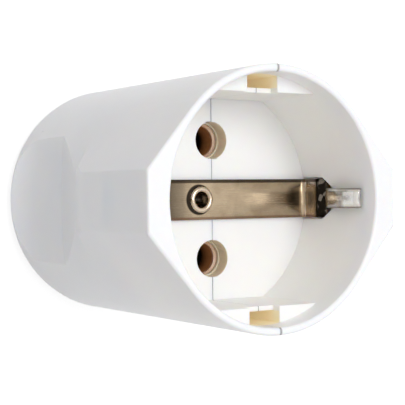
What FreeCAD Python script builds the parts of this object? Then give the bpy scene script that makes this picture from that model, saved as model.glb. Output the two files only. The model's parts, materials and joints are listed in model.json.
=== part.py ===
"""Inline mains socket for a cord, with earth contacts at the sides of its recess.

Z runs along the mating axis, from the rear end at 0 to the rim of the plug recess.
Y runs through the two pin holes, and X through the two side lugs.
The housing is two half shells that meet on the plane X = 0.
"""
import FreeCAD, Part
import math
import os

# Body, in millimetres
body_draft = 0.4
rear_edge_round = 3.0
rear_edge_bevels = 4
rear_wall = 2.5
wall = 1.8
rim_edge_break = 0.3
split_gap = 0.2

# Plug recess and its floor
pin_spacing = 19.0
pin_edge_distance = 9.5
rim_wall = 1.2
recess_depth = 18.0
floor_thickness = 3.0
pin_hole_radius = 2.95
pin_hole_ledge = 2.4
pin_guide_radius = 2.75

# Guides at both ends of the pin line: chords of the recess with a slot for the plug's rib
guide_depth = 2.8
guide_setback = 4.0
guide_slot_width = 5.6
guide_web = 0.8
guide_web_setback = 1.65

# Side lugs, and the finger grip behind each lug
lug_rise = 2.6
lug_rise_rear = 1.0
lug_flat_width = 9.0
lug_length = 25.2
lug_run_out = 1.3
grip_ramp_length = 10.2
grip_depth = 3.4
grip_flare_end = 1.6
grip_flare_rise = 3.3
grip_flare_length = 6.4
grip_flare_sag = 0.75

# Earth strap: one strip with a spring tongue at each end
strap_width = 6.4
strap_thickness = 0.6
strap_edge_break = 0.35
strap_bend_radius = 1.4
strap_rise = 3.7
strap_wall_clearance = 0.1
strap_dip = 1.5
strap_dip_share = 0.45
strap_dip_radius = 0.8
tongue_width = 3.0
tongue_bow = 1.5
tongue_length = 7.6
tongue_tip_return = 1.1
tongue_neck_radius = 1.2
tongue_bow_radius = 2.2
tongue_bow_share = 0.45
shoulder_rise = 1.2
shoulder_length = 1.8
window_length = 3.6
window_depth = 2.4
window_clearance = 0.2

# Hollow rivet that holds the strap and the earth bracket to the floor
rivet_offset = -2.5
rivet_radius = 1.65
rivet_bore_radius = 1.2
rivet_head_radius = 2.15
rivet_head_height = 0.5

# Earth bracket behind the floor, its screw and its clamp plate
bracket_thickness = 0.8
bracket_width = 6.4
bracket_reach = 4.0
bracket_leg_length = 9.0
earth_screw_drop = 5.6
clamp_plate_side = 5.6
earth_wire_room = 1.0

# Contact sleeves: a slit tube for the pin and a block for the wire
contact_bore_radius = 2.45
contact_wall = 0.65
contact_tube_length = 11.8
contact_slit_width = 0.8
contact_slit_length = 9.0
contact_mouth_flare = 0.3
block_side = 7.0
block_length = 8.0
block_edge_break = 0.5
wire_hole_radius = 1.7
wire_hole_depth = 6.6
spring_ring_width = 2.0
spring_ring_wall = 0.5
spring_ring_gap = 1.6
spring_ring_setback = 1.2

# Ribs of the shells: one round the sleeve tubes, one behind the terminal blocks
rib_thickness = 1.5
tube_rib_setback = 3.4
wire_pass_radius = 1.9
core_pass_radius = 4.5
earth_window_height = 8.6
earth_window_margin = 1.2

# Screws
screw_radius = 1.5
screw_head_radius = 2.75
screw_head_height = 1.9
screw_slot_width = 0.8
screw_slot_depth = 0.9
terminal_screw_length = 5.2
line_screw_length = 3.4

# Housing screws, driven from the right half into blind posts of the left half
housing_screw_inset = 2.6
housing_screw_setback = 8.0
housing_post_radius = 2.5
housing_screw_length = 15.0
housing_seat_reach = 7.0
counterbore_clearance = 0.35
seat_wall = 1.0

# Cord inlet and cord clamp
inlet_radius = 4.6
inlet_edge_break = 0.8
clamp_setback = 4.1
clamp_rear_room = 1.9
clamp_width = 6.0
clamp_bar_thickness = 3.2
clamp_bar_wall = 2.0
clamp_screw_spacing = 18.0
clamp_post_radius = 3.0
clamp_screw_length = 12.0
clamp_ridge_height = 0.5
clamp_ridge_width = 0.9
saddle_wall = 1.6

# Closing lip between the halves
lip_width = 0.7
lip_height = 1.0
lip_end_gap = 3.0

# Clearances
fit_clearance = 0.1
thread_clearance = 0.05
over = 2.0

# Lengths that follow, one after the other from the rim to the rear end
contact_length = contact_tube_length + block_length
front_length = recess_depth + floor_thickness + fit_clearance + contact_length + fit_clearance
clamp_length = rib_thickness + clamp_setback + clamp_width / 2
body_length = front_length + clamp_length + clamp_rear_room + rear_wall

# Heights and places that follow from the sizes above
pin_y = pin_spacing / 2
recess_radius = pin_y + pin_edge_distance
guide_distance = recess_radius - guide_depth
rim_radius = recess_radius + rim_wall
rear_radius = rim_radius - body_draft
grip_floor_reach = rim_radius - grip_depth
lug_reach = rim_radius + lug_rise
inner_radius = rear_radius - wall
floor_z = body_length - recess_depth
floor_back_z = floor_z - floor_thickness
guide_top_z = body_length - guide_setback
lug_end_z = body_length - lug_length
run_out_z = lug_end_z - lug_run_out
ramp_end_z = run_out_z - grip_ramp_length
grip_end_z = grip_flare_end + grip_flare_length
strap_wall_x = recess_radius - strap_wall_clearance
strap_rise_z = floor_z + strap_rise
shoulder_z = strap_rise_z + shoulder_rise
window_top_z = strap_rise_z + window_length
contact_outer_radius = contact_bore_radius + contact_wall
contact_front_z = floor_back_z - fit_clearance
block_top_z = contact_front_z - contact_tube_length
block_bottom_z = block_top_z - block_length
terminal_screw_z = block_bottom_z + block_length / 2
tube_rib_z = contact_front_z - tube_rib_setback
wire_rib_z = block_bottom_z - fit_clearance
clamp_z = wire_rib_z - rib_thickness - clamp_setback
clamp_span = (clamp_z - clamp_width / 2, clamp_z + clamp_width / 2)
housing_screw_y = inner_radius - housing_screw_inset
housing_screw_z = contact_front_z - housing_screw_setback
head_hole_radius = screw_head_radius + counterbore_clearance
clamp_screw_y = clamp_screw_spacing / 2
clamp_bore_radius = inlet_radius - clamp_ridge_height
bracket_leg_x = rivet_offset - bracket_reach
earth_screw_z = floor_back_z - earth_screw_drop
clamp_plate_x = bracket_leg_x + bracket_thickness + earth_wire_room
earth_head_x = clamp_plate_x + bracket_thickness


def vec(x, y, z):
    return FreeCAD.Vector(x, y, z)


def box(x_span, y_span, z_span):
    """A box between the two limits given for each axis."""
    low = vec(min(x_span), min(y_span), min(z_span))
    high = vec(max(x_span), max(y_span), max(z_span))
    size = high - low
    return Part.makeBox(size.x, size.y, size.z, low)


def upright(radius, z_span, x=0.0, y=0.0):
    """A cylinder along Z."""
    low = min(z_span)
    return Part.makeCylinder(radius, max(z_span) - low, vec(x, y, low))


def across(radius, x_span, y, z):
    """A cylinder along X."""
    low = min(x_span)
    return Part.makeCylinder(radius, max(x_span) - low, vec(low, y, z), vec(1, 0, 0))


def turned(outline):
    """A solid turned about Z from a closed outline of (radius, z) points."""
    points = [vec(r, 0, z) for r, z in outline]
    face = Part.Face(Part.makePolygon(points + [points[0]]))
    return face.revolve(vec(0, 0, 0), vec(0, 0, 1), 360)


def plate(outline, normal, low, high):
    """A closed outline, given in the plane across normal, extruded from low to high."""
    place = {"y": lambda a, b: vec(a, low, b), "x": lambda a, b: vec(low, a, b)}[normal]
    points = [place(a, b) for a, b in outline]
    face = Part.Face(Part.makePolygon(points + [points[0]]))
    reach = high - low
    return face.extrude(vec(0, reach, 0) if normal == "y" else vec(reach, 0, 0))


def body_radius(z):
    """Outer radius of the round body, which widens a little from rear to rim."""
    share = (z - rear_edge_round) / (body_length - rear_edge_round)
    return rear_radius + (rim_radius - rear_radius) * share


def round_body():
    """The round body, with its rear edge rounded off in short bevels."""
    center_r = rear_radius - rear_edge_round
    outline = [(0, 0)]
    for step in range(rear_edge_bevels + 1):
        angle = math.radians(90 * step / rear_edge_bevels)
        reach = center_r + rear_edge_round * math.sin(angle)
        outline.append((reach, rear_edge_round * (1 - math.cos(angle))))
    return turned(outline + [(rim_radius, body_length), (0, body_length)])


def lug_section(rise, z):
    """Outline round the body and both side flats at one height, as straight tangents and arcs."""
    radius = body_radius(z)
    reach = radius + rise
    half = lug_flat_width / 2
    tangent = math.atan2(half, reach) + math.acos(radius / math.hypot(reach, half))
    on_circle = lambda angle: vec(radius * math.cos(angle), radius * math.sin(angle), z)
    edges = []
    for turn in (0, math.pi):
        side = 1 if turn == 0 else -1
        low = vec(side * reach, -side * half, z)
        high = vec(side * reach, side * half, z)
        edges.append(Part.LineSegment(on_circle(turn - tangent), low).toShape())
        edges.append(Part.LineSegment(low, high).toShape())
        edges.append(Part.LineSegment(high, on_circle(turn + tangent)).toShape())
        arc_end = on_circle(turn + math.pi - tangent)
        edges.append(Part.Arc(on_circle(turn + tangent), on_circle(turn + math.pi / 2), arc_end).toShape())
    return Part.Wire(edges)


def lugs():
    """The two lugs taper from the rim and run out into the round body."""
    rear_section = lug_section(lug_rise_rear, lug_end_z)
    main = Part.makeLoft([rear_section, lug_section(lug_rise, body_length)], True, True)
    run_out = Part.makeLoft([lug_section(fit_clearance, run_out_z), rear_section], True, True)
    return main.fuse(run_out)


def grip_cutter(side):
    """Finger grip on one side: a ramp down from the lug, a flat floor and a flare to the rear edge."""
    ramp_start = vec(side * body_radius(run_out_z), 0, run_out_z)
    ramp_end = vec(side * grip_floor_reach, 0, ramp_end_z)
    slope = (ramp_start - ramp_end) * (1 / (ramp_start.z - ramp_end.z))
    ramp_top = ramp_start + slope * (lug_length / 2)
    floor_end = vec(side * grip_floor_reach, 0, grip_end_z)
    flare_end = vec(floor_end.x + side * grip_flare_rise, 0, grip_flare_end)
    flare_middle = (floor_end + flare_end) * 0.5 + vec(-side * grip_flare_sag, 0, -grip_flare_sag / 2)
    outer_x = side * (lug_reach + over)
    outer_low = vec(outer_x, 0, flare_end.z)
    outer_high = vec(outer_x, 0, ramp_top.z)
    edges = [
        Part.LineSegment(ramp_top, ramp_end).toShape(),
        Part.LineSegment(ramp_end, floor_end).toShape(),
        Part.Arc(floor_end, flare_middle, flare_end).toShape(),
        Part.LineSegment(flare_end, outer_low).toShape(),
        Part.LineSegment(outer_low, outer_high).toShape(),
        Part.LineSegment(outer_high, ramp_top).toShape(),
    ]
    face = Part.Face(Part.Wire(edges))
    face.translate(vec(0, -lug_reach, 0))
    return face.extrude(vec(0, 2 * lug_reach, 0))


def plug_recess():
    """The round well for the plug, less the two chord guides that stay standing in it."""
    well_top = body_length + over
    bevel_start = body_length - rim_edge_break
    well = turned([
        (0, floor_z),
        (recess_radius, floor_z),
        (recess_radius, bevel_start),
        (recess_radius + rim_edge_break, body_length),
        (recess_radius + rim_edge_break, well_top),
        (0, well_top),
    ])
    for side in (-1, 1):
        inner_y = side * guide_distance
        outer_y = side * rim_radius
        guide = box((-rim_radius, rim_radius), (inner_y, outer_y), (floor_z, guide_top_z))
        half = guide_slot_width / 2
        web_y = side * (guide_distance + guide_web)
        slot = box((-half, half), (web_y, outer_y), (floor_z, guide_top_z))
        web_gap = box((-half, half), (inner_y, web_y), (guide_top_z - guide_web_setback, guide_top_z))
        guide = guide.cut(slot).cut(web_gap)
        well = well.cut(guide)
    return well


def floor_holes():
    """Two stepped pin holes and the rivet's hole."""
    tools = []
    for side in (-1, 1):
        y = side * pin_y
        tools.append(upright(pin_hole_radius, (floor_z - pin_hole_ledge, floor_z + over), y=y))
        tools.append(upright(pin_guide_radius, (floor_back_z - over, floor_z), y=y))
    rivet_hole = rivet_radius + fit_clearance
    tools.append(upright(rivet_hole, (floor_back_z - over, floor_z + over), x=rivet_offset))
    return tools


def window(side):
    """Opening in the recess wall where the strap dips behind it, narrowing towards the rim."""
    wide = strap_width / 2 + window_clearance
    narrow = tongue_width / 2 + window_clearance
    low_z = strap_rise_z - window_clearance
    outline = [
        (-wide, low_z), (wide, low_z), (wide, shoulder_z),
        (narrow, window_top_z), (-narrow, window_top_z), (-wide, shoulder_z),
    ]
    inner_x = recess_radius - over
    outer_x = recess_radius + window_depth
    if side > 0:
        return plate(outline, "x", inner_x, outer_x)
    return plate(outline, "x", -outer_x, -inner_x)


def strap_groove(side):
    """Shallow flat in the round wall for the strap's rise."""
    half = strap_width / 2 + window_clearance
    span = (side * (recess_radius - over), side * (strap_wall_x + fit_clearance))
    return box(span, (-half, half), (floor_z, strap_rise_z))


def inner_cavity():
    """Room behind the floor, which follows the body and the two grips at one wall thickness."""
    room = upright(inner_radius, (rear_wall, floor_back_z))
    top_x = body_radius(run_out_z) - wall
    floor_x = grip_floor_reach - wall
    outline = [
        (-floor_x, rear_wall), (floor_x, rear_wall), (floor_x, ramp_end_z), (top_x, run_out_z),
        (top_x, floor_back_z), (-top_x, floor_back_z), (-top_x, run_out_z), (-floor_x, ramp_end_z),
    ]
    return room.common(plate(outline, "y", -inner_radius, inner_radius))


def tube_rib():
    """Rib that cradles both sleeve tubes and clears the earth bracket."""
    span = (tube_rib_z - rib_thickness, tube_rib_z)
    rib = upright(inner_radius + wall / 2, span)
    for side in (-1, 1):
        rib = rib.cut(upright(contact_outer_radius + fit_clearance, span, y=side * pin_y))
    half = earth_window_height / 2
    screw_end_x = earth_head_x - terminal_screw_length
    window_x = (screw_end_x - earth_window_margin, -rivet_offset + earth_window_margin)
    return rib.cut(box(window_x, (-half, half), span))


def wire_rib():
    """Rib behind the terminal blocks, with a pass for each wire and one for the cores."""
    span = (wire_rib_z - rib_thickness, wire_rib_z)
    rib = upright(inner_radius + wall / 2, span)
    for side in (-1, 1):
        rib = rib.cut(upright(wire_pass_radius, span, y=side * pin_y))
    return rib.cut(upright(core_pass_radius, span))


def housing_posts():
    """Posts that meet on the split plane, with a walled seat for each screw head on the right."""
    reach = body_radius(housing_screw_z)
    seat_x = (housing_seat_reach - seat_wall, reach)
    posts = []
    for side in (-1, 1):
        y = side * housing_screw_y
        posts.append(across(housing_post_radius, (-reach, reach), y, housing_screw_z))
        posts.append(across(head_hole_radius + seat_wall, seat_x, y, housing_screw_z))
    return posts


def cord_saddle():
    """Left half of the cord clamp: two screw posts and a half-round saddle with two ridges."""
    back_x = -grip_floor_reach + wall / 2
    parts = []
    for side in (-1, 1):
        parts.append(across(clamp_post_radius, (back_x, 0), side * clamp_screw_y, clamp_z))
    outer = inlet_radius + saddle_wall
    saddle = upright(outer, clamp_span).common(box((-outer, -split_gap / 2), (-outer, outer), clamp_span))
    web = box((back_x, -inlet_radius), (-saddle_wall / 2, saddle_wall / 2), clamp_span)
    saddle = saddle.fuse(web).cut(upright(inlet_radius, clamp_span))
    parts.append(saddle.fuse(ridges(-1)))
    return parts


def ridges(side):
    """Half rings that bite into the cord, a quarter of the clamp's width from each of its ends."""
    rings = []
    reach = 2 * inlet_radius
    for offset in (-clamp_width / 4, clamp_width / 4):
        span = (clamp_z + offset - clamp_ridge_width / 2, clamp_z + offset + clamp_ridge_width / 2)
        ring = upright(inlet_radius + clamp_ridge_height, span).cut(upright(clamp_bore_radius, span))
        rings.append(ring.common(box((side * split_gap / 2, side * reach), (-reach, reach), span)))
    return rings


def break_edges(shape, z, size):
    """Small bevel on the outer edges of the face at height z."""
    edges = []
    for edge in shape.Edges:
        bounds = edge.BoundBox
        if abs(bounds.ZMin - z) < 1e-4 and abs(bounds.ZMax - z) < 1e-4:
            edges.append(edge)
    return shape.makeChamfer(size, edges)


def housing():
    """Both shells as one hollow body, before the split."""
    outside = round_body().fuse(lugs()).removeSplitter()
    outside = break_edges(outside, body_length, rim_edge_break)
    outside = outside.cut([grip_cutter(-1), grip_cutter(1)])
    inside = outside.common(tube_rib().fuse([wire_rib()] + housing_posts()))
    shell = outside.cut([inner_cavity(), plug_recess()])
    shell = shell.fuse(inside)
    inlet = turned([
        (0, -over),
        (inlet_radius + inlet_edge_break, -over),
        (inlet_radius + inlet_edge_break, 0),
        (inlet_radius, inlet_edge_break),
        (inlet_radius, rear_wall + over),
        (0, rear_wall + over),
    ])
    openings = [inlet] + floor_holes()
    for side in (-1, 1):
        openings.append(window(side))
        openings.append(strap_groove(side))
    return shell.cut(openings)


def half_space(side, gap):
    reach = 2 * lug_reach
    return box((side * gap, side * reach), (-reach, reach), (-over, body_length + over))


def post_cores(side):
    """The part of each housing post that fills the split gap, so that the posts touch."""
    cores = []
    for end in (-1, 1):
        span = (0, side * split_gap)
        cores.append(across(housing_post_radius, span, end * housing_screw_y, housing_screw_z))
    return cores


def closing_lip(clearance):
    """Strips along both inner edges of the wall, from the left half into the right one."""
    strips = []
    low_z = rear_wall + lip_end_gap - clearance
    high_z = housing_screw_z - housing_post_radius - fit_clearance + clearance
    for side in (-1, 1):
        y_span = (side * (inner_radius - clearance), side * (inner_radius + lip_width + clearance))
        strips.append(box((-lip_height, lip_height + clearance), y_span, (low_z, high_z)))
    return strips


def left_shell(body):
    shell = body.common(half_space(-1, split_gap / 2))
    shell = shell.fuse(post_cores(-1) + cord_saddle() + closing_lip(0.0))
    tools = []
    pilot = screw_radius + thread_clearance
    housing_tip = housing_seat_reach - housing_screw_length - fit_clearance
    clamp_tip = clamp_bar_thickness - clamp_screw_length - fit_clearance
    for end in (-1, 1):
        tools.append(across(pilot, (housing_tip, over), end * housing_screw_y, housing_screw_z))
        tools.append(across(pilot, (clamp_tip, over), end * clamp_screw_y, clamp_z))
    return shell.cut(tools).removeSplitter()


def right_shell(body):
    shell = body.common(half_space(1, split_gap / 2))
    shell = shell.fuse(post_cores(1))
    tools = closing_lip(fit_clearance)
    for end in (-1, 1):
        y = end * housing_screw_y
        tools.append(across(screw_radius + fit_clearance, (-over, lug_reach), y, housing_screw_z))
        tools.append(across(head_hole_radius, (housing_seat_reach, lug_reach), y, housing_screw_z))
    return shell.cut(tools).removeSplitter()


def rounded_path(points, radii):
    """Straight runs in the XZ plane joined by tangent arcs, one radius for each inner point."""
    edges = []
    last = points[0]
    for index, radius in enumerate(radii):
        corner = points[index + 1]
        into = (corner - points[index]).normalize()
        out = (points[index + 2] - corner).normalize()
        turn = into.getAngle(out)
        cut = radius * math.tan(turn / 2)
        start = corner - into * cut
        end = corner + out * cut
        inward = (out - into).normalize()
        center = corner + inward * (radius / math.cos(turn / 2))
        middle = center - inward * radius
        edges.append(Part.LineSegment(last, start).toShape())
        edges.append(Part.Arc(start, middle, end).toShape())
        last = end
    edges.append(Part.LineSegment(last, points[-1]).toShape())
    return edges


def strap_side_points(side):
    """Outer face of one end of the strap, from the floor corner up to the tip of its tongue."""
    bow_x = recess_radius - tongue_bow
    outline = [
        (strap_wall_x, floor_z),
        (strap_wall_x, strap_rise_z),
        (strap_wall_x + strap_dip, strap_rise_z + strap_dip_share * window_length),
        (strap_wall_x - strap_thickness, window_top_z),
        (bow_x, window_top_z + tongue_bow_share * tongue_length),
        (bow_x + tongue_tip_return, window_top_z + tongue_length),
    ]
    return [vec(side * x, 0, z) for x, z in outline]


def strap_outline():
    """The strap seen along X: full width into the windows, then shoulders and a narrow tongue."""
    half = strap_width / 2
    tongue_half = tongue_width / 2
    neck_z = shoulder_z + shoulder_length
    top_z = window_top_z + tongue_length + over
    return [
        (-half, floor_z - over), (half, floor_z - over), (half, shoulder_z), (tongue_half, neck_z),
        (tongue_half, top_z), (-tongue_half, top_z), (-tongue_half, neck_z), (-half, shoulder_z),
    ]


def long_edges(shape, z, half_width):
    """Edges that run along X at one height, on both sides of the strip."""
    found = []
    for edge in shape.Edges:
        bounds = edge.BoundBox
        flat = abs(bounds.ZMin - z) < 1e-3 and abs(bounds.ZMax - z) < 1e-3
        if flat and abs(abs(bounds.YMin) - half_width) < 1e-3 and bounds.XLength > half_width:
            found.append(edge)
    return found


def earth_strap():
    """One folded strip: flat on the floor, up both walls, behind each window and out as a tongue."""
    radii = [tongue_bow_radius, tongue_neck_radius, strap_dip_radius, strap_dip_radius, strap_bend_radius]
    points = list(reversed(strap_side_points(-1))) + strap_side_points(1)
    path = Part.Wire(rounded_path(points, radii + list(reversed(radii))))
    side_face = path.makeOffset2D(strap_thickness, 2, True, True)
    side_face.translate(vec(0, -strap_width / 2, 0))
    strip = side_face.extrude(vec(0, strap_width, 0))
    edges = long_edges(strip, floor_z + strap_thickness, strap_width / 2)
    strip = strip.makeChamfer(strap_edge_break, edges)
    reach = rim_radius + over
    strip = strip.common(plate(strap_outline(), "x", -reach, reach))
    hole = upright(rivet_radius + fit_clearance, (floor_z - over, floor_z + over), x=rivet_offset)
    return strip.cut(hole)


def earth_rivet():
    """Hollow rivet with a rolled head on the strap and a flared tail behind the bracket."""
    strap_top = floor_z + strap_thickness
    tail_top = floor_back_z - bracket_thickness
    bore = rivet_bore_radius
    roll = rivet_head_height / 2
    rivet = turned([
        (rivet_radius, tail_top),
        (rivet_radius, strap_top),
        (rivet_head_radius, strap_top),
        (rivet_head_radius, strap_top + roll),
        (rivet_head_radius - roll, strap_top + rivet_head_height),
        (bore + roll, strap_top + rivet_head_height),
        (bore, strap_top + roll),
        (bore, tail_top - rivet_head_height),
        (rivet_head_radius - roll, tail_top - rivet_head_height),
        (rivet_head_radius, tail_top),
    ])
    rivet.translate(vec(rivet_offset, 0, 0))
    return rivet


def earth_bracket():
    """Angle behind the floor: a riveted foot and a leg that carries the earth screw."""
    half = bracket_width / 2
    foot_z = floor_back_z - bracket_thickness
    foot = box((bracket_leg_x, -bracket_leg_x + 2 * rivet_offset), (-half, half), (foot_z, floor_back_z))
    leg = box((bracket_leg_x, bracket_leg_x + bracket_thickness), (-half, half),
              (floor_back_z - bracket_leg_length, floor_back_z))
    angle = foot.fuse(leg).removeSplitter()
    inner_corner = [e for e in angle.Edges if is_edge_at(e, bracket_leg_x + bracket_thickness, foot_z)]
    angle = angle.makeFillet(bracket_thickness / 2, inner_corner)
    outer_corner = [e for e in angle.Edges if is_edge_at(e, bracket_leg_x, floor_back_z)]
    angle = angle.makeFillet(bracket_thickness, outer_corner)
    collar_x = (bracket_leg_x - bracket_thickness, bracket_leg_x)
    angle = angle.fuse(across(screw_radius + bracket_thickness, collar_x, 0, earth_screw_z))
    screw_hole = across(screw_radius + thread_clearance, (collar_x[0] - over, 0), 0, earth_screw_z)
    rivet_hole = upright(rivet_radius + fit_clearance, (foot_z - over, floor_z), x=rivet_offset)
    return angle.cut([screw_hole, rivet_hole]).removeSplitter()


def is_edge_at(edge, x, z):
    """True for an edge along Y at the given x and z."""
    bounds = edge.BoundBox
    near = abs(bounds.XMin - x) < 1e-3 and abs(bounds.XMax - x) < 1e-3
    return near and abs(bounds.ZMin - z) < 1e-3 and abs(bounds.ZMax - z) < 1e-3


def earth_clamp_plate():
    """Square plate that presses the earth wire onto the bracket's leg, with turned-up side lips."""
    half = clamp_plate_side / 2
    z_span = (earth_screw_z - half, earth_screw_z + half)
    clamp = box((clamp_plate_x, clamp_plate_x + bracket_thickness), (-half, half), z_span)
    for side in (-1, 1):
        lip_y = (side * half, side * (half - bracket_thickness / 2))
        clamp = clamp.fuse(box((clamp_plate_x - earth_wire_room / 2, clamp_plate_x), lip_y, z_span))
    hole_span = (clamp_plate_x - over, clamp_plate_x + over)
    hole = across(screw_radius + fit_clearance, hole_span, 0, earth_screw_z)
    return clamp.cut(hole).removeSplitter()


def slotted_screw(head_x, y, z, length):
    """Cheese-head screw driven towards -X: the head's underside is at head_x."""
    top_x = head_x + screw_head_height
    head = across(screw_head_radius, (head_x, top_x), y, z)
    shank = across(screw_radius, (head_x - length, head_x), y, z)
    half = screw_slot_width / 2
    slot = box((top_x - screw_slot_depth, top_x + over), (y - half, y + half),
               (z - screw_head_radius - over, z + screw_head_radius + over))
    return head.fuse(shank).cut(slot).removeSplitter()


def contact_sleeve(y):
    """Brass sleeve for one pin: a slit tube in front and a terminal block behind."""
    mouth = contact_bore_radius + contact_mouth_flare
    tube = turned([
        (contact_bore_radius, block_top_z),
        (contact_outer_radius, block_top_z),
        (contact_outer_radius, contact_front_z),
        (mouth, contact_front_z),
        (contact_bore_radius, contact_front_z - contact_mouth_flare),
    ])
    half = block_side / 2
    block = box((-half, half), (-half, half), (block_bottom_z, block_top_z))
    corners = [e for e in block.Edges if e.BoundBox.ZLength > block_length / 2]
    block = block.makeChamfer(block_edge_break, corners)
    wire_hole = upright(wire_hole_radius, (block_bottom_z - over, block_bottom_z + wire_hole_depth))
    screw_hole = across(screw_radius + thread_clearance, (0, block_side), 0, terminal_screw_z)
    slit_low = contact_front_z - contact_slit_length
    slit_half = contact_slit_width / 2
    slit = box((-slit_half, slit_half), (-block_side, block_side), (slit_low, contact_front_z + over))
    sleeve = tube.fuse(block.cut([wire_hole, screw_hole])).removeSplitter().cut(slit)
    sleeve.translate(vec(0, y, 0))
    return sleeve


def sleeve_spring(y):
    """Open steel ring that keeps the slit tube tight on the pin."""
    inner = contact_outer_radius + thread_clearance
    top = contact_front_z - spring_ring_setback
    span = (top - spring_ring_width, top)
    ring = upright(inner + spring_ring_wall, span, y=y).cut(upright(inner, span, y=y))
    half = spring_ring_gap / 2
    gap = box((0, block_side), (y - half, y + half), span)
    return ring.cut(gap)


def cord_clamp_bar():
    """Bridge over the cord: two flat ears, a round hump and two ridges inside it."""
    ear_y = clamp_screw_y + clamp_post_radius
    ears = box((0, clamp_bar_thickness), (-ear_y, ear_y), clamp_span)
    hump = upright(inlet_radius + clamp_bar_wall, clamp_span).common(half_space(1, 0))
    bar = ears.fuse(hump).cut(upright(inlet_radius, clamp_span)).fuse(ridges(1)).removeSplitter()
    holes = []
    for side in (-1, 1):
        holes.append(across(screw_radius + fit_clearance, (-over, 2 * ear_y), side * clamp_screw_y, clamp_z))
        seat = (clamp_bar_thickness, 2 * ear_y)
        holes.append(across(screw_head_radius + fit_clearance, seat, side * clamp_screw_y, clamp_z))
    return bar.cut(holes)


def parts():
    """Every piece with the name of its node."""
    body = housing()
    named = {
        "shell_left": left_shell(body),
        "shell_right": right_shell(body),
        "earth_strap": earth_strap(),
        "earth_rivet": earth_rivet(),
        "earth_bracket": earth_bracket(),
        "earth_clamp_plate": earth_clamp_plate(),
        "earth_screw": slotted_screw(earth_head_x, 0, earth_screw_z, terminal_screw_length),
        "cord_clamp_bar": cord_clamp_bar(),
    }
    for end, side in (("upper", 1), ("lower", -1)):
        y = side * pin_y
        block_face_x = block_side / 2 + fit_clearance
        clamp_y = side * clamp_screw_y
        housing_y = side * housing_screw_y
        named["contact_sleeve_" + end] = contact_sleeve(y)
        named["sleeve_spring_" + end] = sleeve_spring(y)
        named["line_screw_" + end] = slotted_screw(block_face_x, y, terminal_screw_z, line_screw_length)
        named["clamp_screw_" + end] = slotted_screw(clamp_bar_thickness, clamp_y, clamp_z, clamp_screw_length)
        named["housing_screw_" + end] = slotted_screw(
            housing_seat_reach, housing_y, housing_screw_z, housing_screw_length)
    return named


def main():
    os.makedirs("parts", exist_ok=True)
    for name, shape in parts().items():
        size = shape.BoundBox
        span = [round(v, 2) for v in (size.XLength, size.YLength, size.ZLength)]
        print(name, shape.isValid(), len(shape.Solids), round(shape.Volume, 2), span)
        shape.exportStep("parts/" + name + ".step")


if __name__ == "__main__":
    main()
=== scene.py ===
"""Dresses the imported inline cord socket: rounded shells, bent strap, rivet, screws, finishes and light."""
import json
import math

import bpy
from mathutils import Matrix, Vector


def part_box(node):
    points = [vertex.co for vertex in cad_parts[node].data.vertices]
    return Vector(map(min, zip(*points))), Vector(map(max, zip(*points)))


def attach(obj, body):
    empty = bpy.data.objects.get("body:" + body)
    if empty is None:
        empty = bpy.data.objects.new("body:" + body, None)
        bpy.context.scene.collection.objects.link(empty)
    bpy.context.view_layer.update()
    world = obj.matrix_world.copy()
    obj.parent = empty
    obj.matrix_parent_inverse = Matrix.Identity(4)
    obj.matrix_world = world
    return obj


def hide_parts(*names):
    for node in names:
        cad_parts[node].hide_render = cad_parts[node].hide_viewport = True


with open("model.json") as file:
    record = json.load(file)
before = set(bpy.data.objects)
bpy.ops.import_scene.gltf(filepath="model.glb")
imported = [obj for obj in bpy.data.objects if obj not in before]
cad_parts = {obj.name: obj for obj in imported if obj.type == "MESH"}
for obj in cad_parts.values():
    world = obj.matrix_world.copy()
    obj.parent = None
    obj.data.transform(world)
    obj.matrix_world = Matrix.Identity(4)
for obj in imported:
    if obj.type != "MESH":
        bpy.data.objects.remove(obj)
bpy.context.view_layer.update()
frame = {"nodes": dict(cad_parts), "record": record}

MM = 0.001

# Sockets of the Mix node when it mixes colours
MIX_A, MIX_B, MIX_OUT = 6, 7, 2


# Finishes

def srgb(code):
    """Linear RGBA of a hex colour such as "e8e8ea"."""
    channels = [int(code[i:i + 2], 16) / 255 for i in (0, 2, 4)]
    linear = [c / 12.92 if c <= 0.04045 else ((c + 0.055) / 1.055) ** 2.4 for c in channels]
    return (*linear, 1.0)


def add_node(tree, kind, settings=None, links=None):
    """Add one shader node, set its values and link its inputs."""
    node = tree.nodes.new(kind)
    for key, value in (settings or {}).items():
        if isinstance(key, str) and hasattr(node, key):
            setattr(node, key, value)
        else:
            node.inputs[key].default_value = value
    for key, source in (links or {}).items():
        tree.links.new(source, node.inputs[key])
    return node


def start_material(name):
    """A bare material and the object's own coordinates."""
    material = bpy.data.materials.new(name)
    material.use_nodes = True
    tree = material.node_tree
    tree.nodes.clear()
    return material, tree, add_node(tree, "ShaderNodeTexCoord").outputs["Object"]


def end_material(tree, settings, links):
    shader = add_node(tree, "ShaderNodeBsdfPrincipled", settings, links)
    add_node(tree, "ShaderNodeOutputMaterial", links={"Surface": shader.outputs["BSDF"]})


def colour_mix(tree, base, other, factor):
    """Mix two colours, each a hex string or another node's output."""
    settings = {"data_type": "RGBA"}
    links = {"Factor": factor}
    for socket, colour in ((MIX_A, base), (MIX_B, other)):
        if isinstance(colour, str):
            settings[socket] = srgb(colour)
        else:
            links[socket] = colour
    return add_node(tree, "ShaderNodeMix", settings, links).outputs[MIX_OUT]


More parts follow.
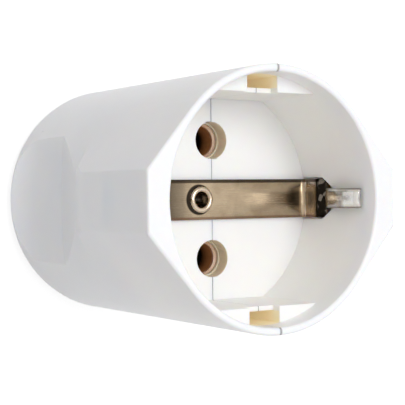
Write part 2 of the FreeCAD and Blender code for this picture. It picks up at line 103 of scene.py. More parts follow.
def distances(tree, place, point=(0, 0)):
    """Distances from the middle planes, the height, and the distance from an upright axis at a point.

    Unless its x is negative, the point also stands for its mirror images.
    """
    folded = add_node(tree, "ShaderNodeVectorMath", {"operation": "ABSOLUTE"}, {0: place}).outputs["Vector"]
    sizes = add_node(tree, "ShaderNodeSeparateXYZ", links={"Vector": folded}).outputs
    source = folded if point[0] >= 0 else place
    axis_place = (point[0] * MM, point[1] * MM, 0)
    offset = add_node(tree, "ShaderNodeVectorMath", {"operation": "SUBTRACT", 1: axis_place},
                      {0: source}).outputs["Vector"]
    flat = add_node(tree, "ShaderNodeVectorMath", {"operation": "MULTIPLY", 1: (1, 1, 0)}, {0: offset})
    ring = add_node(tree, "ShaderNodeVectorMath", {"operation": "LENGTH"}, {0: flat.outputs["Vector"]})
    return sizes["X"], sizes["Y"], sizes["Z"], ring.outputs["Value"]


def zone(tree, share, *limits):
    """Share inside a zone and 0 outside; each limit is (value, where it is full, where it is gone) in mm."""
    mask = None
    for value, full, gone in limits:
        most = share if mask is None else 1.0
        edge = add_node(tree, "ShaderNodeMapRange", {
            "From Min": full * MM, "From Max": gone * MM, "To Min": most, "To Max": 0.0,
        }, {"Value": value}).outputs["Result"]
        if mask is None:
            mask = edge
        else:
            product = add_node(tree, "ShaderNodeMath", {"operation": "MULTIPLY"}, {0: mask, 1: edge})
            mask = product.outputs["Value"]
    return mask


# The recess as the CAD has it, in millimetres
recess_radius = 19.0
recess_floor_z = 36.0
guide_top_z = 50.0
slot_half_width = 2.8
slot_inner_y = 17.0
pin_y = 9.5


def warm_cavities(tree, place, colour):
    """Cream tones where light bounces about in the recess, painted shade along the split lines and painted
    grey shade in the notches at the rim.

    Gives the colour, and the mask of the slots behind the guides.
    """
    x, y, z, ring = distances(tree, place)
    pin_ring = distances(tree, place, (0, pin_y))[3]
    above_floor = (z, recess_floor_z + 0.2, recess_floor_z - 0.2)
    recess = zone(tree, 1.0, (ring, recess_radius - 0.1, recess_radius + 0.15), (z, 48, 52), above_floor)
    colour = colour_mix(tree, colour, "fcfaf5", recess)
    slots = zone(tree, 1.0, (x, slot_half_width - 0.02, slot_half_width + 0.15),
                 (y, slot_inner_y + 0.05, slot_inner_y - 0.05), (z, guide_top_z - 0.3, guide_top_z - 0.05),
                 above_floor, (ring, recess_radius + 0.3, recess_radius + 0.5))
    colour = colour_mix(tree, colour, "fbeecb", slots)
    pin_walls = zone(tree, 0.75, (pin_ring, 3.0, 3.06), (z, 35.85, 36.0), (z, 32.9, 32.8))
    colour = colour_mix(tree, colour, "ecdcb9", pin_walls)
    # Painted shade in the split lines between the halves
    split_line_shade = zone(tree, 0.8, (x, 0.03, 0.07))
    colour = colour_mix(tree, colour, "4d473f", split_line_shade)
    # Painted grey shade in the notches at the rim
    rim_notch_shade = zone(tree, 0.6, (x, 0.2, 0.26), (ring, 18.8, 18.7), (z, 53.6, 53.5))
    return colour_mix(tree, colour, "a8a39c", rim_notch_shade), slots


flow_cloud_mm = 9.0
slot_glow = 0.1


def moulded_plastic(name, light, dark, roughness, grain_mm, grain_depth_mm, soak_mm, cavities=False):
    """Injection-moulded plastic: spark-eroded grain, faint flow clouds, uneven gloss, soaked light."""
    material, tree, place = start_material(name)
    clouds = add_node(tree, "ShaderNodeTexNoise", {
        "Scale": 1 / (flow_cloud_mm * MM), "Detail": 3.0, "Roughness": 0.55,
    }, {"Vector": place})
    colour = colour_mix(tree, light, dark, clouds.outputs["Fac"])
    through_wall = {}
    if cavities:
        colour, slots = warm_cavities(tree, place, colour)
        # Light that comes through the thin wall behind the slots
        glow = add_node(tree, "ShaderNodeMath", {"operation": "MULTIPLY", 1: slot_glow}, {0: slots})
        through_wall["Emission Strength"] = glow.outputs["Value"]
    gloss = add_node(tree, "ShaderNodeMapRange", {"To Min": roughness - 0.04, "To Max": roughness + 0.05},
                     {"Value": clouds.outputs["Fac"]})
    grain = add_node(tree, "ShaderNodeTexNoise", {
        "Scale": 1 / (grain_mm * MM), "Detail": 2.0, "Roughness": 0.6,
    }, {"Vector": place})
    bump = add_node(tree, "ShaderNodeBump", {"Strength": 0.5, "Distance": grain_depth_mm * MM},
                    {"Height": grain.outputs["Fac"]})
    end_material(tree, {
        "IOR": 1.5, "Subsurface Weight": 0.5, "Subsurface Radius": (1.0, 0.72, 0.42),
        "Subsurface Scale": soak_mm * MM, "Emission Color": srgb("ffecd0"), "Emission Strength": 0.0,
    }, {
        "Base Color": colour, "Roughness": gloss.outputs["Result"], "Normal": bump.outputs["Normal"],
        **through_wall,
    })
    return material


# Marks on the strap: the middles of the rivet's painted shade and of the painted dark reflections, and the
# size of the painted glints in the folds
rivet_shade_x = -2.85
dark_reflection_x = 17.0
fold_glint_mm = 0.9


def plating_wear_and_painted_light(tree, place, colour):
    """The strap's marks: silver tongues rubbed by plugs, and painted light and shade: brown dark reflections
    on the rolled edges, black shade in the folds, dark reflections in front of the bends, glints and grey
    reflections on the tongues.
    """
    x, y, z, _ = distances(tree, place)
    rivet_ring = distances(tree, place, (rivet_shade_x, 0))[3]
    dark_reflection_ring = distances(tree, place, (dark_reflection_x, 0))[3]
    signed = add_node(tree, "ShaderNodeSeparateXYZ", links={"Vector": place}).outputs
    signed_x, signed_y = signed["X"], signed["Y"]
    flat_part = (z, 36.8, 37.2)
    below_neck = (z, 42.0, 42.6)
    tongue_start = (z, 44.6, 44.0)
    marks = [
        # Silver tongues
        ("e9e6e1", zone(tree, 1.0, (z, 44.4, 43.4))),
        # The flat part darkens towards its left end
        ("5b5044", zone(tree, 0.45, (signed_x, -6.0, -4.0), flat_part)),
        ("3f362c", zone(tree, 0.6, (signed_x, -8.2, -5.2), flat_part)),
        # Painted light on the pale stretch low on both walls
        ("f1e0cc", zone(tree, 0.95, (z, 37.1, 36.95), (z, 38.6, 40.0))),
        # Painted dark reflections on the rolled long edges, darker on the upper side
        ("3a3027", zone(tree, 0.9, (signed_y, 2.72, 2.58), below_neck)),
        ("7a5a47", zone(tree, 0.7, (signed_y, -2.85, -2.7), below_neck)),
        # Painted dark reflections on the flat part in front of its bends
        ("1d1a14", zone(tree, 0.9, (dark_reflection_ring, 1.1, 2.8), (x, 17.2, 17.8), (z, 37.0, 37.3))),
        # Painted black shade in the folds behind the windows, with painted brown shade beyond them
        ("0a0806", zone(tree, 0.98, (z, 39.9, 39.4), (z, 41.0, 42.8))),
        ("4f443a", zone(tree, 0.55, (z, 42.2, 41.6), (z, 43.2, 44.6))),
        # Shade round the rivet's head
        ("1a1511", zone(tree, 0.95, (rivet_ring, 2.35, 2.5), (z, 37.0, 37.4))),
        # Painted reflections on the tongues: grey bands along them, white glints between and beyond them,
        # and grey edges
        ("7d7771", zone(tree, 0.7, (signed_y, 0.5, 0.3), (signed_y, 1.15, 1.35), tongue_start,
                        (z, 48.6, 49.2))),
        ("8a8077", zone(tree, 0.7, (signed_y, -0.5, -0.25), tongue_start, (z, 47.6, 48.4))),
        ("ffffff", zone(tree, 1.0, (y, 0.2, 0.32), (z, 44.4, 43.8), (z, 48.0, 48.4))),
        ("ffffff", zone(tree, 1.0, (y, 0.9, 1.1), (z, 48.3, 47.9), (z, 49.9, 50.1))),
        ("6e655c", zone(tree, 0.8, (y, 1.42, 1.3), (z, 43.6, 43.2))),
    ]
    for shade, mask in marks:
        colour = colour_mix(tree, colour, shade, mask)
    # Painted pale glints, as crumpled metal would show them, inside the fold
    glint_cells = add_node(tree, "ShaderNodeTexVoronoi", {"Scale": 1 / (fold_glint_mm * MM)}, {"Vector": place})
    glint_spots = add_node(tree, "ShaderNodeMapRange", {"From Min": 0.57, "From Max": 0.63},
                      {"Value": glint_cells.outputs["Color"]})
    fold = zone(tree, 0.65, (z, 40.3, 40.0), (z, 42.3, 42.6))
    both = add_node(tree, "ShaderNodeMath", {"operation": "MULTIPLY"},
                    {0: glint_spots.outputs["Result"], 1: fold})
    return colour_mix(tree, colour, "857c71", both.outputs["Value"])


def sleeve_mouths(tree, place, colour, glow):
    """Light that soaks through the white posts reaches the mouths of the sleeves, and not their depths."""
    height = distances(tree, place)[2]
    bore_ring = distances(tree, place, (0, pin_y))[3]
    depths = zone(tree, 0.95, (height, 28.6, 29.8), (bore_ring, 2.5, 2.6))
    colour = colour_mix(tree, colour, "0c0705", depths)
    front_rings = zone(tree, 0.85, (height, 32.3, 31.9))
    colour = colour_mix(tree, colour, "e6d8cd", front_rings)
    return colour, zone(tree, glow, (height, 31.4, 29.2))


# Lines left by rolling or turning: how many times longer than wide, and how deep
line_stretch = 40
line_depth_mm = 0.02
tarnish_cloud_mm = 2.6
tarnish_share = 0.5


def worked_metal(name, light, dark, roughness, line_mm, along, strap_wear_and_painted_light=False, mouth_glow=0.0):
    """Rolled or turned metal: fine lines along one axis and faint tarnish clouds."""
    material, tree, place = start_material(name)
    stretch = [1 / (line_mm * MM)] * 3
    stretch["xyz".index(along)] /= line_stretch
    lines_at = add_node(tree, "ShaderNodeMapping", {"Scale": stretch}, {"Vector": place})
    lines = add_node(tree, "ShaderNodeTexNoise", {"Scale": 1.0, "Detail": 3.0, "Roughness": 0.6},
                     {"Vector": lines_at.outputs["Vector"]})
    clouds = add_node(tree, "ShaderNodeTexNoise", {
        "Scale": 1 / (tarnish_cloud_mm * MM), "Detail": 4.0, "Roughness": 0.6,
    }, {"Vector": place})
    patches = add_node(tree, "ShaderNodeMapRange", {
        "From Min": 0.4, "From Max": 0.68, "To Max": tarnish_share,
    }, {"Value": clouds.outputs["Fac"]})
    colour = colour_mix(tree, light, dark, patches.outputs["Result"])
    # The strap's wear, with its painted light and shade
    if strap_wear_and_painted_light:
        colour = plating_wear_and_painted_light(tree, place, colour)
    gloss = add_node(tree, "ShaderNodeMapRange", {"To Min": roughness - 0.07, "To Max": roughness + 0.1},
                     {"Value": lines.outputs["Fac"]})
    bump = add_node(tree, "ShaderNodeBump", {"Strength": 0.35, "Distance": line_depth_mm * MM},
                    {"Height": lines.outputs["Fac"]})
    soaked_light = {}
    if mouth_glow:
        colour, soaked_light["Emission Strength"] = sleeve_mouths(tree, place, colour, mouth_glow)
    end_material(tree, {"Metallic": 1.0, "Emission Color": srgb("c07a48"), "Emission Strength": 0.0}, {
        "Base Color": colour, "Roughness": gloss.outputs["Result"], "Normal": bump.outputs["Normal"],
        **soaked_light,
    })
    return material


# White housing plastic: satin, cool outside, and warm where light soaks through a thin wall
housing_plastic = moulded_plastic("white_moulded_plastic", "f5f5f7", "efeff2", roughness=0.36,
                                  grain_mm=0.3, grain_depth_mm=0.02, soak_mm=1.4, cavities=True)
# Polyamide cord clamp: duller and slightly yellow
clamp_plastic = moulded_plastic("natural_polyamide", "d8d6cd", "cfccc2", roughness=0.5,
                                grain_mm=0.35, grain_depth_mm=0.03, soak_mm=0.8)
# Nickel-plated spring strip: warm grey, rolled along its length, fairly bright
nickel_strip = worked_metal("nickel_plated_strip", "bba88d", "978269", roughness=0.24,
                            line_mm=0.12, along="x", strap_wear_and_painted_light=True)
# Nickel-plated bracket and plate: as the strip, with no spring polish
nickel_bracket = worked_metal("nickel_plated_bracket", "c2b6a6", "8e8171", roughness=0.3,
                              line_mm=0.12, along="x")
# Nickel-plated rivet: pressed, so its lines hardly show
rivet_nickel = worked_metal("nickel_plated_rivet", "d8c6b0", "8a745e", roughness=0.18,
                            line_mm=0.25, along="z")
# Machined brass of the sleeves: brown-yellow with turning marks
machined_brass = worked_metal("machined_brass", "b78a5c", "7a5230", roughness=0.5,
                              line_mm=0.15, along="z", mouth_glow=0.14)
# Hardened spring steel: dark grey, blued in patches
blued_spring = worked_metal("hardened_spring_steel", "8d8d90", "4d4b4c", roughness=0.35,
                            line_mm=0.12, along="z")
# Zinc-plated screws: pale cool grey with fine lines
zinc_steel = worked_metal("zinc_plated_steel", "cfd0cf", "98979a", roughness=0.3,
                          line_mm=0.12, along="x")

finish_of_slot = {
    "housing_plastic": housing_plastic, "clamp_plastic": clamp_plastic, "plated_strip": nickel_bracket,
    "rivet_metal": rivet_nickel, "contact_brass": machined_brass, "spring_steel": blued_spring,
    "screw_steel": zinc_steel,
}
for item in frame["record"]["subparts"]:
    for slot in frame["nodes"][item["node"]].material_slots:
        slot.material = finish_of_slot[item["material_slot"]]


# Modelling by hand

def pick(piece, test, kind="VERT"):
    """Select only the piece's vertices, edges or faces that pass the test on their middle."""
    bpy.ops.object.mode_set(mode="OBJECT")
    mesh = piece.data
    for group in (mesh.polygons, mesh.edges, mesh.vertices):
        group.foreach_set("select", [False] * len(group))
    chosen = {"VERT": mesh.vertices, "EDGE": mesh.edges, "FACE": mesh.polygons}[kind]
    for item in chosen:
        corners = [item] if kind == "VERT" else [mesh.vertices[i] for i in item.vertices]
        middle = sum((c.co for c in corners), Vector()) / len(corners)
        item.select = test(middle / MM, item)
    bpy.ops.object.mode_set(mode="EDIT")
    bpy.ops.mesh.select_mode(type=kind)


def begin(name, add_primitive, **settings):
    """Add a primitive with nothing else selected, ready in edit mode."""
    if bpy.context.object and bpy.context.object.mode != "OBJECT":
        bpy.ops.object.mode_set(mode="OBJECT")
    bpy.ops.object.select_all(action="DESELECT")
    add_primitive(**settings)
    piece = bpy.context.object
    piece.name = name
    piece.data.name = name
    bpy.ops.object.transform_apply(location=True, rotation=True, scale=True)
    bpy.ops.object.mode_set(mode="EDIT")
    return piece


def modify(piece, kind, **settings):
    """Add one modifier, set it and apply it."""
    bpy.ops.object.mode_set(mode="OBJECT")
    bpy.ops.object.select_all(action="DESELECT")
    piece.select_set(True)
    bpy.context.view_layer.objects.active = piece
    bpy.ops.object.modifier_add(type=kind)
    modifier = piece.modifiers[-1]
    for key, value in settings.items():
        setattr(modifier, key, value)
    bpy.ops.object.modifier_apply(modifier=modifier.name)


def finish_piece(piece, material, slot, *nodes, smooth_deg=40):
    """Clean the mesh, smooth it, dress it and let it stand for its nodes."""
    bpy.ops.object.mode_set(mode="EDIT")
    bpy.ops.mesh.select_all(action="SELECT")
    bpy.ops.mesh.remove_doubles(threshold=0.0005 * MM)
    bpy.ops.mesh.normals_make_consistent(inside=False)
    bpy.ops.object.mode_set(mode="OBJECT")
    bpy.ops.object.shade_smooth_by_angle(angle=math.radians(smooth_deg))
    piece.data.materials.clear()
    piece.data.materials.append(material)
    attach(piece, "root")
    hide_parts(*nodes)


def rounded_line(points, radii, steps=6):
    """Points of an (x, z) line in millimetres whose inner corners are rounded."""
    line = [Vector(points[0])]
    for before, corner, after, radius in zip(points, points[1:], points[2:], radii):
        corner = Vector(corner)
        into = (corner - Vector(before)).normalized()
        out = (Vector(after) - corner).normalized()
        turn = into.angle(out)
        start = corner - into * radius * math.tan(turn / 2)
        end = corner + out * radius * math.tan(turn / 2)
        center = corner + (out - into).normalized() * radius / math.cos(turn / 2)
        for step in range(steps + 1):
            along = start.lerp(end, step / steps)
            line.append(center + (along - center).normalized() * radius)
    line.append(Vector(points[-1]))
    return line


def lathe(name, profile, center, axis, steps=48):
    """Turn a closed (radius, height) profile about an axis, as on a lathe."""
    piece = begin(name, bpy.ops.mesh.primitive_plane_add, size=MM, location=(0, 0, 0))
    bpy.ops.mesh.select_all(action="SELECT")
    bpy.ops.mesh.merge(type="CENTER")
    bpy.ops.transform.translate(value=(profile[0][0] * MM, 0, profile[0][1] * MM))
    for (r0, z0), (r1, z1) in zip(profile, profile[1:] + profile[:1]):
        bpy.ops.mesh.extrude_vertices_move(
            TRANSFORM_OT_translate={"value": ((r1 - r0) * MM, 0, (z1 - z0) * MM)})
    bpy.ops.mesh.select_all(action="SELECT")
    bpy.ops.mesh.remove_doubles(threshold=0.001 * MM)
    bpy.ops.mesh.select_all(action="SELECT")
    bpy.ops.mesh.spin(steps=steps, angle=2 * math.pi, center=(0, 0, 0), axis=(0, 0, 1))
    bpy.ops.mesh.select_all(action="SELECT")
    bpy.ops.mesh.remove_doubles(threshold=0.001 * MM)
    bpy.ops.mesh.normals_make_consistent(inside=False)
    bpy.ops.object.mode_set(mode="OBJECT")
    if axis == "x":
        piece.rotation_euler = (0, math.pi / 2, 0)
    piece.location = Vector(center) * MM
    bpy.ops.object.transform_apply(location=True, rotation=True, scale=True)
    return piece


def cut_away(piece, tool):
    """Take the tool's shape out of the piece, and throw the tool away."""
    bpy.ops.object.mode_set(mode="OBJECT")
    modify(piece, "BOOLEAN", object=tool, operation="DIFFERENCE", solver="EXACT")
    bpy.data.objects.remove(tool)


# Housing shells

edge_round = 0.16
edge_steps = 2
sharp_edge_deg = 30
grip_crease_deg = 9
# Distance of the split faces from the middle plane, in the CAD and here, and what counts as near it
cad_split_x = 0.1
shown_split_x = 0.01
split_face_x = 0.3
split_edge_x = 0.35
# The finger grips lie behind front_z, and an edge that ends below front_edge_z runs down into them
front_z = 29.2
front_edge_z = 28.5
grip_rear_z = 3.2
grip_inner_ring = 14.6
grip_inner_x = 8.0
# The closed housing behind the floor of the recess, and the part of it that is well inside
closed_z = 35.0
closed_ring = 19.0
inside_ring = 14.0


def keep_selected(piece, test):
    """Of the selected edges, leave only those that pass the test on their middle and their lower end."""
    bpy.ops.object.mode_set(mode="OBJECT")
    corners = piece.data.vertices
    for edge in piece.data.edges:
        if edge.select:
            first, last = (corners[i].co / MM for i in edge.vertices)
            edge.select = test((first + last) / 2, min(first.z, last.z))
    for other in (*corners, *piece.data.polygons):
        other.select = False
    bpy.ops.object.mode_set(mode="EDIT")


def on_grip(middle, _):
    """The outer faces of both finger grips, with their ramps and flares."""
    outside = math.hypot(middle.x, middle.y) > grip_inner_ring and abs(middle.x) > grip_inner_x
    return grip_rear_z < middle.z < front_z and outside


def off_the_grip(middle, _):
    """Faces in front of the grips, well inside the housing or on its split."""
    inside = math.hypot(middle.x, middle.y) < inside_ring
    return middle.z > front_z or inside or abs(middle.x) < split_face_x


def visible_in_front(middle, low_z):
    """Edges wholly in front of the grips, apart from those inside the closed housing."""
    inside = middle.z < closed_z and math.hypot(middle.x, middle.y) < closed_ring
    return middle.z > front_z and low_z > front_edge_z and not inside


# Finger grip of the CAD: its flat floor, and where its flare ends and its ramp starts
grip_floor_x = 16.8
grip_flare_end_z = 8.0
grip_ramp_start_z = 17.3
grip_ramp_deg = 17.4
dish_depth = 1.5
dish_radius = 40.0
dish_steps = 480
dish_clearance = 0.02


def finger_dish(side):
    """Cutter that dishes the grip's floor: not at all at the flare, and most where the ramp starts."""
    floor_x = side * (grip_floor_x + dish_clearance)
    dish = begin("finger_dish", bpy.ops.mesh.primitive_cylinder_add, vertices=dish_steps,
                 radius=dish_radius * MM, depth=(grip_ramp_start_z - grip_flare_end_z) * MM,
                 location=(side * (grip_floor_x - dish_depth + dish_radius) * MM, 0,
                           (grip_ramp_start_z + grip_flare_end_z) / 2 * MM))
    # Its end at the flare is pressed nearly flat
    pick(dish, lambda p, _: p.z < grip_flare_end_z + 0.1)
    bpy.ops.transform.resize(value=(0.001, 1, 1), center_override=(floor_x * MM, 0, grip_flare_end_z * MM))
    lean = math.radians(grip_ramp_deg)
    bpy.ops.mesh.select_all(action="SELECT")
    bpy.ops.mesh.bisect(plane_co=(side * grip_floor_x * MM, 0, grip_ramp_start_z * MM),
                        plane_no=(side * math.cos(lean), 0, -math.sin(lean)),
                        use_fill=True, clear_inner=True)
    bpy.ops.mesh.select_all(action="SELECT")
    bpy.ops.mesh.normals_make_consistent(inside=False)
    return dish


def rounded_shell(name, node, side):
    """One half of the housing: grip dished, moulded edges slightly rounded, creases of the grip crisp."""
    piece = bpy.data.objects.new(name, frame["nodes"][node].data.copy())
    bpy.context.scene.collection.objects.link(piece)
    bpy.ops.object.select_all(action="DESELECT")
    piece.select_set(True)
    bpy.context.view_layer.objects.active = piece
    bpy.ops.mesh.customdata_custom_splitnormals_clear()
    bpy.ops.object.mode_set(mode="EDIT")
    bpy.ops.mesh.select_all(action="SELECT")
    bpy.ops.mesh.remove_doubles(threshold=0.002 * MM)
    # The gap at the split closes to a fine line
    pick(piece, lambda p, _: abs(abs(p.x) - cad_split_x) < 0.003)
    bpy.ops.transform.translate(value=(side * (shown_split_x - cad_split_x) * MM, 0, 0))
    cut_away(piece, finger_dish(side))
    # Flat faces are joined, so that the bevel has clean edges to follow
    pick(piece, off_the_grip, "FACE")
    bpy.ops.mesh.dissolve_limited(angle_limit=math.radians(0.4))
    for share, at_split in ((1.0, False), (0.5, True)):
        bpy.ops.mesh.select_all(action="DESELECT")
        bpy.ops.mesh.select_mode(type="EDGE")
        bpy.ops.mesh.edges_select_sharp(sharpness=math.radians(sharp_edge_deg))
        keep_selected(piece, lambda p, low_z: visible_in_front(p, low_z)
                      and (abs(p.x) < split_edge_x) == at_split)
        bpy.ops.transform.edge_bevelweight(value=share)
    modify(piece, "BEVEL", width=edge_round * MM, segments=edge_steps, limit_method="WEIGHT",
           use_clamp_overlap=False, miter_outer="MITER_ARC")
    finish_piece(piece, housing_plastic, "housing_plastic", node, smooth_deg=32)
    # Creases of the grip stay sharp, and flat faces stay flat beside their rounded edges
    bpy.ops.object.mode_set(mode="EDIT")
    bpy.ops.mesh.select_all(action="DESELECT")
    bpy.ops.mesh.select_mode(type="EDGE")
    bpy.ops.mesh.edges_select_sharp(sharpness=math.radians(grip_crease_deg))
    keep_selected(piece, on_grip)
    bpy.ops.mesh.mark_sharp()
    modify(piece, "WEIGHTED_NORMAL", keep_sharp=True, weight=80)


rounded_shell("housing_half_left", "shell_left", -1)
rounded_shell("housing_half_right", "shell_right", 1)


# Earth strap and its rivet

strap_half_width = 3.2
strap_thickness = 0.6
strap_edge_radius = 0.28
# Outer face of the strap seen from the side, as (x, z) from the middle to the tip, and its inner bends
strap_line = [
    (0, recess_floor_z), (18.9, recess_floor_z), (18.9, 39.7), (20.4, 41.32),
    (18.3, 43.3), (17.5, 46.72), (18.6, 50.9),
]
strap_bends = [1.4, 0.3, 0.5, 1.2, 2.2]
shoulder_start_z, shoulder_end_z = 40.9, 42.7
tongue_half_width = 1.5
tongue_crown = 0.22
crown_start_z = 43.4
rivet_x = -2.5
rivet_hole_radius = 1.75
rivet_shank_radius = 1.65
# The rolled head is nearly a half round: the radius of its ridge, and half its width
rivet_ridge_radius = 1.675
rivet_half_ridge = 0.475


def bent_strap():
    """One strip, bent step by step along its line, narrowed at the shoulders, crowned on its tongues."""
    line = rounded_line(strap_line, strap_bends)
    piece = begin("earth_strap_spring", bpy.ops.mesh.primitive_plane_add, size=1 * MM,
                  location=(0.5 * MM, 0, line[0].y * MM))
    end_x = line[1].x - line[0].x
    bpy.ops.mesh.select_all(action="SELECT")
    bpy.ops.transform.resize(value=(end_x, 2 * strap_half_width, 1),
                             center_override=(0, 0, line[0].y * MM))
    pick(piece, lambda p, _: abs(p.x - end_x) < 0.01, "EDGE")
    width = strap_half_width
    for before, here in zip(line[1:], line[2:]):
        bpy.ops.mesh.extrude_edges_move(
            TRANSFORM_OT_translate={"value": ((here.x - before.x) * MM, 0, (here.y - before.y) * MM)})
        share = min(max((here.y - shoulder_start_z) / (shoulder_end_z - shoulder_start_z), 0), 1)
        wanted = strap_half_width + (tongue_half_width - strap_half_width) * share
        if wanted != width:
            bpy.ops.transform.resize(value=(1, wanted / width, 1), center_override=(0, 0, here.y * MM))
            width = wanted
    crown_y = tongue_half_width / 2
    for y in (-crown_y, 0, crown_y):
        bpy.ops.mesh.select_all(action="SELECT")
        bpy.ops.mesh.bisect(plane_co=(0, y * MM, 0), plane_no=(0, 1, 0))
    for reach in (crown_y, 0):
        pick(piece, lambda p, _: abs(p.y) < reach + 0.05 and p.z > crown_start_z)
        bpy.ops.transform.translate(value=(-tongue_crown * MM / 2, 0, 0))
    modify(piece, "MIRROR", use_axis=(True, False, False), merge_threshold=0.01 * MM)
    bpy.ops.object.mode_set(mode="EDIT")
    bpy.ops.mesh.select_all(action="SELECT")
    bpy.ops.mesh.normals_make_consistent(inside=False)
    bpy.ops.object.mode_set(mode="OBJECT")
    # The thickness grows to the side that the faces point to, which is upwards on the floor
    floor_face = min(piece.data.polygons, key=lambda face: face.center.z)
    if floor_face.normal.z < 0:
        bpy.ops.object.mode_set(mode="EDIT")
        bpy.ops.mesh.flip_normals()
    modify(piece, "SOLIDIFY", thickness=strap_thickness * MM, offset=1.0)
    modify(piece, "BEVEL", width=strap_edge_radius * MM, segments=3, limit_method="ANGLE",
           angle_limit=math.radians(60))
    hole = begin("rivet_hole", bpy.ops.mesh.primitive_cylinder_add, vertices=40,
                 radius=rivet_hole_radius * MM, depth=4 * MM,
                 location=(rivet_x * MM, 0, recess_floor_z * MM))
    cut_away(piece, hole)
    finish_piece(piece, nickel_strip, "plated_strip", "earth_strap")


def rolled_rivet():
    """Hollow rivet: a rolled round head on the strap and a flared tail behind the floor."""
    low, high = (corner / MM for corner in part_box("earth_rivet"))
    strap_top = recess_floor_z + strap_thickness
    head = []
    for degrees in range(0, 181, 15):
        angle = math.radians(degrees)
        head.append((rivet_ridge_radius + rivet_half_ridge * math.cos(angle),
                     strap_top + (high.z - strap_top) * math.sin(angle)))
    tail_z = low.z + 0.5
    tail = [
        (rivet_ridge_radius - rivet_half_ridge, tail_z),
        (rivet_ridge_radius - 0.3, low.z + 0.12),
        (rivet_ridge_radius, low.z),
        (rivet_ridge_radius + 0.3, low.z + 0.12),
        (rivet_ridge_radius + rivet_half_ridge, tail_z),
        (rivet_shank_radius, tail_z),
        (rivet_shank_radius, strap_top),
    ]
    rivet = lathe("earth_hollow_rivet", head + tail, (rivet_x, 0, 0), "z")
    finish_piece(rivet, rivet_nickel, "rivet_metal", "earth_rivet")


bent_strap()
rolled_rivet()


# Screws

screw_head_radius, screw_head_height = 2.75, 1.9
screw_slot_width, screw_slot_depth = 0.8, 0.9
slot_cutter_length = 8
screw_radius = 1.5
screw_point_radius, screw_point_length = 0.9, 0.7


def slotted_screws(name, nodes):
    """Cheese-head screws of one kind: turned head with a rounded edge, milled slot, pointed shank end."""
    low, high = (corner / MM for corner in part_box(nodes[0]))
    middle_y, middle_z = (low.y + high.y) / 2, (low.z + high.z) / 2
    top = high.x - low.x
    under = top - screw_head_height
    crown = [(0, top), (1.6, top - 0.02), (2.3, top - 0.12), (2.6, top - 0.3), (2.72, top - 0.55)]
    rim = [(screw_head_radius, top - 0.9), (screw_head_radius, under + 0.1), (2.65, under)]
    shank = [(screw_radius, under), (screw_radius, screw_point_length), (screw_point_radius, 0), (0, 0)]
    first = lathe(name, crown + rim + shank, (low.x, middle_y, middle_z), "x")
    slot_place = (high.x * MM, middle_y * MM, middle_z * MM)
    slot = begin("slot_cutter", bpy.ops.mesh.primitive_cube_add, size=MM, location=slot_place)
    bpy.ops.mesh.select_all(action="SELECT")
    bpy.ops.transform.resize(value=(2 * screw_slot_depth, screw_slot_width, slot_cutter_length),
                             center_override=slot_place)
    cut_away(first, slot)
    for node in nodes[1:]:
        other = bpy.data.objects.new(name + "_second", first.data.copy())
        bpy.context.scene.collection.objects.link(other)
        bpy.ops.object.select_all(action="DESELECT")
        other.select_set(True)
        bpy.context.view_layer.objects.active = other
        other.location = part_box(node)[0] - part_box(nodes[0])[0]
        bpy.ops.object.transform_apply(location=True, rotation=True, scale=True)
        finish_piece(other, zinc_steel, "screw_steel", node)
    finish_piece(first, zinc_steel, "screw_steel", nodes[0])


slotted_screws("housing_slotted_screw", ["housing_screw_upper", "housing_screw_lower"])
slotted_screws("clamp_slotted_screw", ["clamp_screw_upper", "clamp_screw_lower"])
slotted_screws("line_slotted_screw", ["line_screw_upper", "line_screw_lower"])
slotted_screws("earth_slotted_screw", ["earth_screw"])

bpy.ops.object.select_all(action="DESELECT")


# Camera, light and floor

# Camera: place and angle of the photograph, in the frame's millimetres
camera_place = Vector((-106.967, 1.492, 194.508))
camera_right = Vector((0.833208, -0.010798, 0.552854))
camera_up = Vector((0.014651, 0.999889, -0.002551))
camera_back = Vector((-0.552766, 0.010226, 0.833274))
camera_lens = 105.796
camera_sensor = 36.0

camera_data = bpy.data.cameras.new("camera")
camera_data.lens = camera_lens
camera_data.sensor_width = camera_sensor
camera_data.clip_start = 0.01
camera = bpy.data.objects.new("camera", camera_data)
bpy.context.scene.collection.objects.link(camera)
turn = Matrix((camera_right, camera_up, camera_back)).transposed().to_4x4()
camera.matrix_world = Matrix.Translation(camera_place * MM) @ turn
bpy.context.scene.camera = camera


def area_lamp(name, place, aim, size, power):
    """A square soft box at a place, turned towards a point; metres and watts."""
    data = bpy.data.lights.new(name, "AREA")
    data.shape = "SQUARE"
    data.size = size
    data.energy = power
    lamp = bpy.data.objects.new(name, data)
    lamp.location = place
    lamp.rotation_euler = (Vector(aim) - Vector(place)).to_track_quat("-Z", "Y").to_euler()
    bpy.context.scene.collection.objects.link(lamp)


area_lamp("soft_box_key", place=(0.02, 0.16, 0.78), aim=(0, 0, 0.04), size=0.4, power=2.55)

# A strength of 1 is white; less of it lights the plastic, so that pale surfaces keep their shape
world_light = 0.68


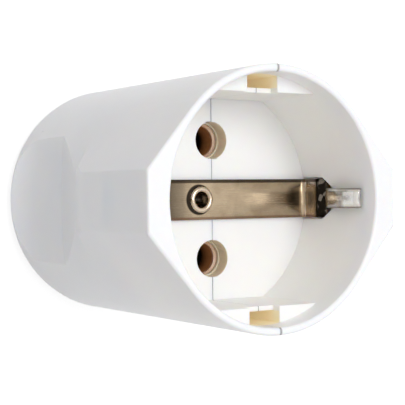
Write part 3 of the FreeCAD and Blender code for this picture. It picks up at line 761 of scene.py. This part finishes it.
def white_to_view(tree, other_strength):
    """Strength 1 for camera, glossy and transmission rays, and a lower one for the light on the object."""
    path = add_node(tree, "ShaderNodeLightPath")
    seen = path.outputs["Is Camera Ray"]
    for ray in ("Is Glossy Ray", "Is Transmission Ray"):
        seen = add_node(tree, "ShaderNodeMath", {"operation": "MAXIMUM"},
                        {0: seen, 1: path.outputs[ray]}).outputs["Value"]
    return add_node(tree, "ShaderNodeMapRange", {"To Min": other_strength, "To Max": 1.0},
                    {"Value": seen}).outputs["Result"]


world = bpy.data.worlds.new("studio")
bpy.context.scene.world = world
world.use_nodes = True
world.node_tree.nodes.clear()
background = add_node(world.node_tree, "ShaderNodeBackground", {"Color": (1, 1, 1, 1)},
                      {"Strength": white_to_view(world.node_tree, world_light)})
add_node(world.node_tree, "ShaderNodeOutputWorld", links={"Surface": background.outputs["Background"]})

# Matt white board: fine fibres, white to the camera, and it keeps a faint shadow
board_lift = 0.74
board_fibre_mm = 1.5
board_relief_mm = 0.02
board_size = 3.0
board_top_z = -0.0002
floor_material, tree, place = start_material("matt_white_board")
fibres = add_node(tree, "ShaderNodeTexNoise", {"Scale": 1 / (board_fibre_mm * MM), "Detail": 3.0},
                  {"Vector": place})
board_bump = add_node(tree, "ShaderNodeBump", {"Strength": 0.1, "Distance": board_relief_mm * MM},
                      {"Height": fibres.outputs["Fac"]})
board = add_node(tree, "ShaderNodeBsdfDiffuse", {"Color": srgb("b0b0b0")},
                 {"Normal": board_bump.outputs["Normal"]})
lift = add_node(tree, "ShaderNodeMath", {"operation": "SUBTRACT", 1: 1 - board_lift},
                {0: white_to_view(tree, 1 - board_lift)})
glow = add_node(tree, "ShaderNodeEmission", {"Color": (1, 1, 1, 1)}, {"Strength": lift.outputs["Value"]})
both = add_node(tree, "ShaderNodeAddShader", links={0: board.outputs["BSDF"], 1: glow.outputs["Emission"]})
add_node(tree, "ShaderNodeOutputMaterial", links={"Surface": both.outputs["Shader"]})

bpy.ops.mesh.primitive_plane_add(size=board_size, location=(0, 0, board_top_z))
floor = bpy.context.object
floor.name = "floor"
bpy.ops.object.transform_apply(location=True, rotation=True, scale=True)
floor.data.materials.append(floor_material)

view = bpy.context.scene.view_settings
view.view_transform = "Standard"
